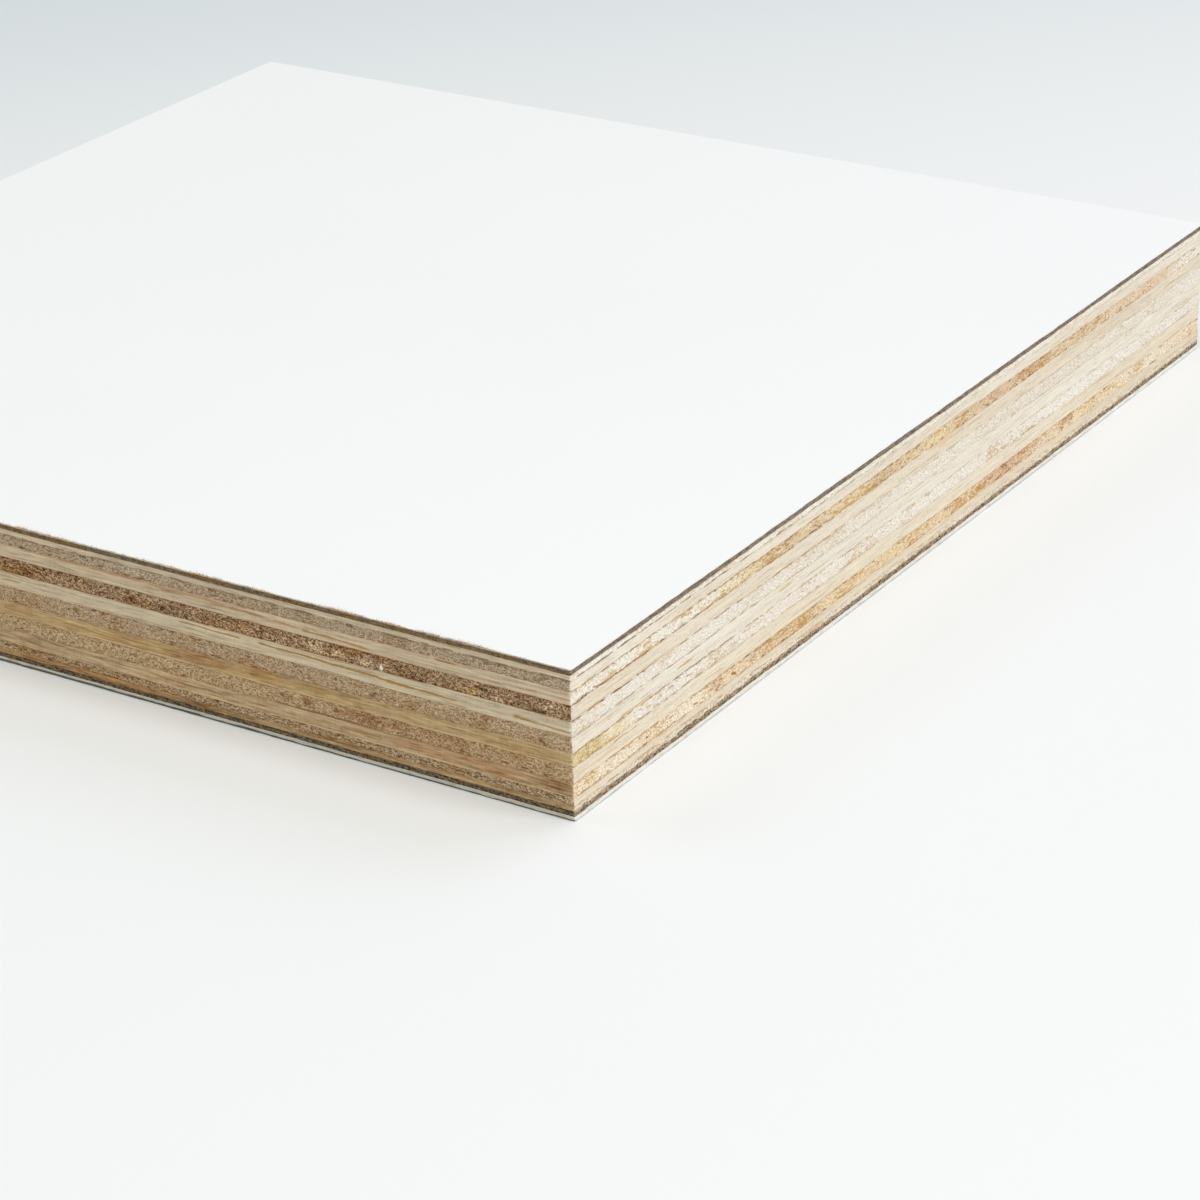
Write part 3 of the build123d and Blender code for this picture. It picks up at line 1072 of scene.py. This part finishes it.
def long_grain_material(sheet, veneer, thickness):
    """Sawn long grain: threads and pores along it, and soft brown stains.

    The shaded edges have faint saw lines across the grain, the lit ones thin dark lines along it.
    """
    shader = Shader(sheet + "_long_grain")
    lit = veneer.grain == "Y"
    breaks = shader.grain(along_scale(veneer.grain, 0.5, 4.0), detail=4.0, roughness=0.65)
    tint = covered(shader, breaks, lit)
    threads = shader.grain(along_scale(veneer.grain, 0.07, 4.5), detail=4.0, roughness=0.65)
    pores = shader.grain(along_scale(veneer.grain, 0.4, 5.5), detail=2.0, roughness=0.6)
    fibres = shader.sum(threads, 0.5, pores)
    stains = shader.grain(along_scale(veneer.grain, 0.45, 1.8), detail=4.0, roughness=0.65)
    colour = shaded_by(shader, tint, shader.ramp(stains, 0.50, 0.66, 0.0, veneer.stain), STAIN_SHADE)
    if lit:
        lines = shader.grain(along_scale(veneer.grain, 0.05, 3.0))
        colour = shaded_by(shader, colour, shader.ramp(lines, 0.40, 0.32), LINE_SHADE)
        fibres = shader.sum(fibres, 0.6, shader.grain((3.2, 3.2, 5.0), roughness=0.65))
        shade, lift, depth = 0.31, 0.26, 0.04
    else:
        fibres = shader.sum(fibres, 0.9, shader.grain((3.6, 3.6, 0.5), detail=2.0))
        shade, lift, depth = 0.50 + 0.45 * veneer.stain, 0.42 + 0.5 * veneer.stain, 0.05
    colour = shader.flecked(colour, fibres, shade, lift, 0.13)
    colour = glued(shader, colour, sheet, thickness, lit)
    colour = streaked(shader, colour, veneer.grain)
    # Painted shade in the torn hollows of the grain
    colour = shaded_by(shader, colour, shader.field("pit"), PIT_PAINTED_SHADE)
    roughness = shader.ramp(fibres, 0.3, 0.7, 0.85, 0.7)
    return shader.finish(colour, roughness, fibres, depth_mm=depth, gloss=0.25)


def end_grain_material(sheet, veneer, thickness):
    """Sawn end grain: fine specks, short dashes and torn brown bits."""
    shader = Shader(sheet + "_end_grain")
    lit = veneer.grain == "X"
    breaks = shader.grain((1.5, 1.5, 3.4), detail=4.0, roughness=0.7, distortion=0.6)
    tint = covered(shader, breaks, lit)
    specks = shader.grain((5.2, 5.2, 6.4), detail=2.0, roughness=0.7, distortion=0.4)
    flecks = shader.grain((2.6, 2.6, 5.2), roughness=0.6, distortion=0.8)
    value = shader.sum(specks, 0.5, flecks)
    colour = shader.flecked(tint, value, veneer.shade, veneer.lift, 0.085)
    golden = None
    if lit:
        golden = shader.ramp(shader.part(tint, "Z"), 0.55, 0.25)
        colour = pale_tufts(shader, colour, golden)
    colour = glued(shader, colour, sheet, thickness, lit)
    colour = torn_bits(shader, colour, veneer, thickness, golden)
    colour = streaked(shader, colour, veneer.grain)
    pit = shader.field("pit")
    # Painted shade in the pits, mixed with the fine specks
    hollow = shader.ramp(shader.sum(pit, 0.55, specks), 0.40, 0.75)
    colour = shaded_by(shader, colour, hollow, PIT_PAINTED_SHADE)
    return shader.finish(colour, 0.9, value, depth_mm=0.06 if lit else 0.10, gloss=0.15)


def pale_tufts(shader, colour, golden):
    """Pale torn tufts that stand in the golden stretches."""
    tufts = shader.grain((1.1, 1.1, 2.4), roughness=0.65, distortion=1.5)
    shown = shader.math("MULTIPLY", shader.ramp(tufts, 0.50, 0.62, 0.0, 0.55), golden)
    return shader.mix(shown, colour, TUFT_CREAM)


def torn_bits(shader, colour, veneer, thickness, golden):
    """Brown bits of torn end grain, most of them near the glue lines and in golden stretches."""
    torn = shader.grain((1.1, 1.1, 3.6), roughness=0.6, distortion=1.2)
    where = shader.grain((0.16, 0.16, 0.4), detail=1.0)
    share = shader.field("share")
    middle = shader.math("ABSOLUTE", shader.math("SUBTRACT", share, 0.5))
    from_rim = shader.math("MULTIPLY", shader.math("SUBTRACT", 0.5, middle), thickness)
    near_rim = shader.ramp(from_rim, *TORN_RIM, 0.06 if golden is None else 0.08, 0.0)
    if golden is not None:
        near_rim = shader.math("MULTIPLY", near_rim, rim_strength(shader))
        near_rim = shader.math("ADD", near_rim, shader.math("MULTIPLY", golden, 0.05))
    value = shader.math("ADD", shader.sum(torn, 0.65, where), near_rim)
    shade = shader.mix(shader.ramp(where, 0.45, 0.55), TORN_SHADE, TORN_GOLD)
    return shaded_by(shader, colour, shader.ramp(value, 0.54, 0.61, 0.0, veneer.crumble), shade)


def kraft_material(sheet, thickness):
    shader = Shader(sheet + "_edge")
    tint = shader.colour_field("tint")
    streaks = shader.grain((0.8, 0.8, 4.0), detail=4.0, roughness=0.65)
    crumbs = shader.grain((2.6, 2.6, 4.2), roughness=0.6)
    value = shader.sum(streaks, 0.5, crumbs)
    colour = shader.flecked(tint, value, *KRAFT_CONTRAST[sheet], 0.09)
    # A warm mottle that only the shaded edges get, painted warm shade
    warm = shader.ramp(shader.grain((0.22, 0.22, 1.6)), 0.40, 0.62)
    lit = shader.field("pit")
    colour = shaded_by(shader, colour, shader.math("SUBTRACT", warm, lit), KRAFT_WARMTH)
    if sheet == "bottom_kraft_sheet":
        share = shader.field("share")
        from_top = shader.math("MULTIPLY", shader.math("SUBTRACT", 1.0, share), thickness)
        reach = shader.ramp(shader.grain((2.8, 2.8, 2.0), roughness=0.65), 0.44, 0.66, 0.0, BITE_REACH)
        bite = shader.ramp(shader.math("SUBTRACT", reach, from_top), 0.0, BITE_SOFTNESS)
        colour = shader.mix(shader.math("MULTIPLY", bite, lit), colour, TAN_BIT)
    return shader.finish(colour, 0.8, value, depth_mm=0.06, gloss=0.2)


def decor_edge_material(sheet):
    shader = Shader(sheet + "_edge")
    tint = shader.colour_field("tint")
    mottle = shader.grain((0.9, 0.9, 3.5))
    colour = shader.flecked(tint, mottle, 0.3, 0.1, 0.2)
    # Painted shadow in the broken strip along the bottom of the lower white sheet
    broken = shader.ramp(shader.field("pit"), 0.0, 0.25)
    colour = shaded_by(shader, colour, broken, BREAK_PAINTED_SHADOW)
    return shader.finish(colour, 0.6, mottle, depth_mm=0.02, gloss=0.3)


def decor_face_material(sheet):
    """Satin white face with the faint pearl of pressed laminate."""
    shader = Shader(sheet + "_face")
    pearl = shader.grain((1.6, 1.6, 1.6), detail=2.0)
    cloud = shader.grain((0.02, 0.02, 0.02), detail=2.0)
    clouded = [CLOUD_SHADE * channel for channel in DECOR_FACE_TINT]
    colour = shader.mix(shader.ramp(cloud, 0.3, 0.7), clouded, DECOR_FACE_TINT)
    roughness = shader.ramp(pearl, 0.3, 0.7, 0.40, 0.48)
    return shader.finish(colour, roughness, pearl, depth_mm=0.004, gloss=0.4)


def sheet_materials(sheet):
    """Materials of one sheet's mesh, and which of them its flat faces have."""
    low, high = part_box(sheet)
    thickness = (high.z - low.z) / MM
    if sheet in VENEERS:
        makers = (long_grain_material, end_grain_material)
        return [make(sheet, VENEERS[sheet], thickness) for make in makers], 0
    if "kraft" in sheet:
        return [kraft_material(sheet, thickness)], 0
    return [decor_edge_material(sheet), decor_face_material(sheet)], 1


# Pieces

LAYOUTS = {"top_decor_sheet": SHOWN_TOP_LAYOUT, "bottom_decor_sheet": SHOWN_UNDERSIDE_LAYOUT}


def add_object(name, data):
    made = bpy.data.objects.new(name, data)
    bpy.context.scene.collection.objects.link(made)
    return made


def build_sheet(sheet):
    materials, face_material = sheet_materials(sheet)
    fibres = saw_fibres() if sheet == "top_kraft_sheet" else None
    mesh = sheet_mesh(sheet, LAYOUTS.get(sheet, HIDDEN_FACES_LAYOUT), face_material, fibres)
    for material in materials:
        mesh.materials.append(material)
    piece = add_object(sheet + "_finish", mesh)
    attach(piece, "root")
    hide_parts(sheet)


for subpart in frame["record"]["subparts"]:
    build_sheet(subpart["node"])


# Stage: a pale floor that darkens a little behind the panel, as painted shade of the light falling off

FLOOR_REACH = 4.0
FLOOR_CORNERS = ((-1, -1), (1, -1), (1, 1), (-1, 1))
FLOOR_GAP = 0.00002
FLOOR_NEAR_TINT = (0.89, 0.908, 0.905)
# Far colour of the floor: painted shade where the light falls off behind the panel
FLOOR_FAR_PAINTED_SHADE = (0.675, 0.74, 0.77)
FLOOR_FADE_DIRECTION = (-0.75, 0.66, 0.0)
FLOOR_FADE_START = 0.02
FLOOR_FADE_END = 0.30
FLOOR_ROUGHNESS = 0.9
FLOOR_GLOSS = 0.1


def build_floor():
    mesh = bpy.data.meshes.new("floor")
    corners = [(x * FLOOR_REACH, y * FLOOR_REACH, -FLOOR_GAP) for x, y in FLOOR_CORNERS]
    mesh.from_pydata(corners, [], [(0, 1, 2, 3)])
    shader = Shader("floor_paper")
    place = shader.place()
    along = shader.node("ShaderNodeVectorMath", {0: place, 1: FLOOR_FADE_DIRECTION}, operation="DOT_PRODUCT")
    fade = shader.ramp(along.outputs["Value"], FLOOR_FADE_START, FLOOR_FADE_END)
    shader.fill(shader.surface.inputs["Base Color"], shader.mix(fade, FLOOR_NEAR_TINT, FLOOR_FAR_PAINTED_SHADE))
    shader.surface.inputs["Roughness"].default_value = FLOOR_ROUGHNESS
    shader.surface.inputs["Specular IOR Level"].default_value = FLOOR_GLOSS
    mesh.materials.append(shader.material)
    add_object("floor", mesh)


# Lights: a soft lamp from the right, weaker ones from behind and from the left, and plain light all round

Lamp = namedtuple("Lamp", "name place aim size power colour")
LAMPS = (
    Lamp("key_lamp", (0.85, -0.335, 1.10), (0.0, -0.335, 0.0), (1.21, 0.5), 12.0, (0.985, 1.0, 1.05)),
    Lamp("back_lamp", (0.45, 1.0, 0.95), (0.0, 0.0, 0.0), (1.0, 0.8), 3.3, (0.95, 0.98, 1.32)),
    Lamp("left_lamp", (-0.9, -0.2, 0.95), (0.0, 0.0, 0.0), (0.8, 0.8), 2.4, (0.985, 1.0, 1.08)),
)
ROOM_LIGHT = (0.415, 0.406, 0.346)
BACKDROP_TINT = (0.74, 0.78, 0.79)


def build_lamp(lamp):
    light = bpy.data.lights.new(lamp.name, "AREA")
    light.shape = "RECTANGLE"
    light.size, light.size_y = lamp.size
    light.energy = lamp.power
    light.color = lamp.colour
    placed = add_object(lamp.name, light)
    placed.location = lamp.place
    placed.rotation_mode = "QUATERNION"
    placed.rotation_quaternion = (Vector(lamp.aim) - Vector(lamp.place)).to_track_quat("-Z", "Y")


def build_world():
    """Even light from all round, behind which the camera sees a pale backdrop."""
    world = bpy.data.worlds.new("room")
    bpy.context.scene.world = world
    world.use_nodes = True
    tree = world.node_tree
    background = tree.nodes["Background"]
    path = tree.nodes.new("ShaderNodeLightPath")
    seen = path.outputs["Is Camera Ray"]
    for kind in ("Is Glossy Ray", "Is Transmission Ray"):
        either = tree.nodes.new("ShaderNodeMath")
        either.operation = "MAXIMUM"
        tree.links.new(seen, either.inputs[0])
        tree.links.new(path.outputs[kind], either.inputs[1])
        seen = either.outputs[0]
    choice = tree.nodes.new("ShaderNodeMix")
    choice.data_type = "RGBA"
    choice.inputs[6].default_value = (*ROOM_LIGHT, 1.0)
    choice.inputs[7].default_value = (*BACKDROP_TINT, 1.0)
    tree.links.new(seen, choice.inputs[0])
    tree.links.new(choice.outputs[2], background.inputs["Color"])
    background.inputs["Strength"].default_value = 1.0


# Camera at the photograph's place, tipped a little to its side

CAMERA_PLACE = Vector((0.2685, -0.3645, 0.1876))
CAMERA_VIEW = Vector((-0.4965, 0.7577, -0.4235))
CAMERA_ROLL = math.radians(-1.664)
CAMERA_LENS = 116.73
CAMERA_SENSOR = 36.0
CAMERA_NEAREST = 0.01


def build_camera():
    camera = bpy.data.cameras.new("camera")
    camera.lens = CAMERA_LENS
    camera.sensor_width = CAMERA_SENSOR
    camera.clip_start = CAMERA_NEAREST
    placed = add_object("camera", camera)
    placed.location = CAMERA_PLACE
    placed.rotation_mode = "QUATERNION"
    level = CAMERA_VIEW.to_track_quat("-Z", "Y")
    placed.rotation_quaternion = level @ Quaternion((0.0, 0.0, 1.0), CAMERA_ROLL)
    bpy.context.scene.camera = placed


build_floor()
for lamp in LAMPS:
    build_lamp(lamp)
build_world()
build_camera()
bpy.context.scene.view_settings.view_transform = "Standard"
